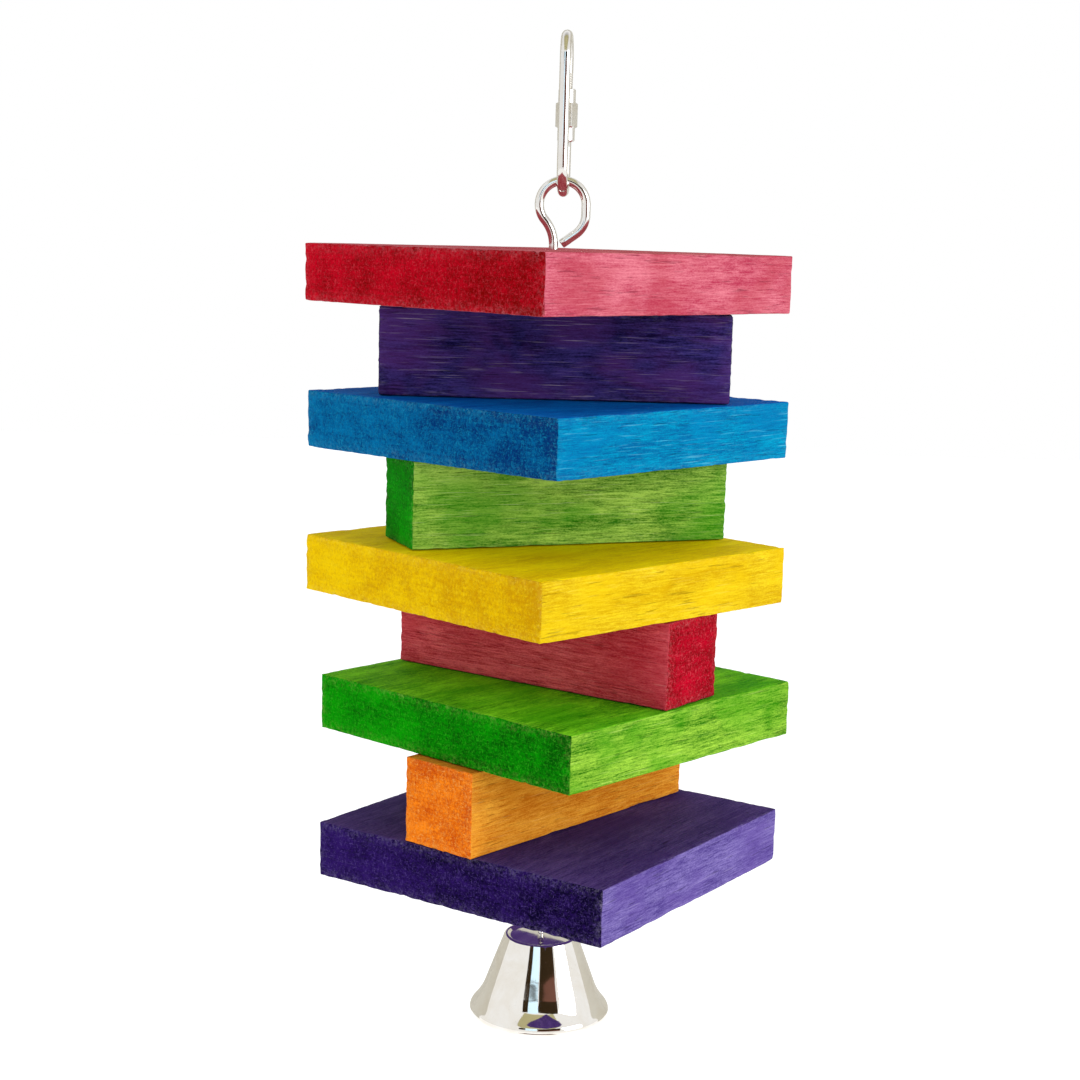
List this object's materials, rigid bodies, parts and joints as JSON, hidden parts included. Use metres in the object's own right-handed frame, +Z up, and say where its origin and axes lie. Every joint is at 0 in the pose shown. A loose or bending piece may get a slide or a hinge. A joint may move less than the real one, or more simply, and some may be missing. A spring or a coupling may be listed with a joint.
{
  "type": "hanging wooden block bird toy",
  "caption": "Hanging toy of coloured wooden blocks threaded on a wire rod, with a quick link to hang it from and a small bell under the stack.",
  "frame": {"origin": "the hang point: the inside of the quick link's top bow, on the link's centre line, where the carrying bar sits", "axes": "+Z up along the hang line, -Y towards the viewer's side where the slabs' near corners point, +X to the viewer's right"},
  "size_m": [0.1118, 0.1109, 0.2303],
  "materials": {
    "steel_wire": "bright plated wire",
    "nickel_bell": "bright nickel plate",
    "wood_red": "dyed, unvarnished",
    "wood_purple": "dyed, unvarnished",
    "wood_blue": "dyed, unvarnished",
    "wood_green": "dyed, unvarnished",
    "wood_yellow": "dyed, unvarnished",
    "wood_orange": "dyed, unvarnished"
  },
  "bodies": {
    "link": {"quick_link": "steel_wire"},
    "nut": {"quick_link_nut": "steel_wire"},
    "rod": {"eye_rod": "steel_wire"},
    "slab_red_body": {"slab_red": "wood_red"},
    "spacer_purple_body": {"spacer_purple": "wood_purple"},
    "slab_blue_body": {"slab_blue": "wood_blue"},
    "spacer_green_body": {"spacer_green": "wood_green"},
    "slab_yellow_body": {"slab_yellow": "wood_yellow"},
    "spacer_red_body": {"spacer_red": "wood_red"},
    "slab_green_body": {"slab_green": "wood_green"},
    "spacer_orange_body": {"spacer_orange": "wood_orange"},
    "slab_purple_body": {"slab_purple": "wood_purple"},
    "bell": {"bell_shell": "nickel_bell", "bell_hanger": "steel_wire"},
    "clapper": {"clapper_wire": "steel_wire", "clapper_ball": "nickel_bell"}
  },
  "joints": [
    {"name": "nut_travel", "type": "slide", "parent": "link", "child": "nut", "axis": [0, 0, 1], "range_m": [0, 0.0056]},
    {"name": "rod_swing", "type": "hinge", "parent": "link", "child": "rod", "pos_m": [0, 0, -0.0315], "axis": [0.0593, 0.9982, 0], "range_deg": [-45, 45]},
    {"name": "slab_red_turn", "type": "hinge", "parent": "rod", "child": "slab_red_body", "pos_m": [-0.0018, 0, -0.1], "axis": [0, 0, 1], "continuous": true},
    {"name": "spacer_purple_turn", "type": "hinge", "parent": "rod", "child": "spacer_purple_body", "pos_m": [-0.0018, 0, -0.1], "axis": [0, 0, 1], "continuous": true},
    {"name": "slab_blue_turn", "type": "hinge", "parent": "rod", "child": "slab_blue_body", "pos_m": [-0.0018, 0, -0.1], "axis": [0, 0, 1], "continuous": true},
    {"name": "spacer_green_turn", "type": "hinge", "parent": "rod", "child": "spacer_green_body", "pos_m": [-0.0018, 0, -0.1], "axis": [0, 0, 1], "continuous": true},
    {"name": "slab_yellow_turn", "type": "hinge", "parent": "rod", "child": "slab_yellow_body", "pos_m": [-0.0018, 0, -0.1], "axis": [0, 0, 1], "continuous": true},
    {"name": "spacer_red_turn", "type": "hinge", "parent": "rod", "child": "spacer_red_body", "pos_m": [-0.0018, 0, -0.1], "axis": [0, 0, 1], "continuous": true},
    {"name": "slab_green_turn", "type": "hinge", "parent": "rod", "child": "slab_green_body", "pos_m": [-0.0018, 0, -0.1], "axis": [0, 0, 1], "continuous": true},
    {"name": "spacer_orange_turn", "type": "hinge", "parent": "rod", "child": "spacer_orange_body", "pos_m": [-0.0018, 0, -0.1], "axis": [0, 0, 1], "continuous": true},
    {"name": "slab_purple_turn", "type": "hinge", "parent": "rod", "child": "slab_purple_body", "pos_m": [-0.0018, 0, -0.1], "axis": [0, 0, 1], "continuous": true},
    {"name": "bell_swing", "type": "hinge", "parent": "rod", "child": "bell", "pos_m": [-0.0003, 0, -0.19423], "axis": [1, 0, 0], "range_deg": [-60, 60]},
    {"name": "clapper_swing", "type": "hinge", "parent": "bell", "child": "clapper", "pos_m": [-0.0003, 0, -0.20797], "axis": [0, 1, 0], "range_deg": [-40, 40]}
  ]
}
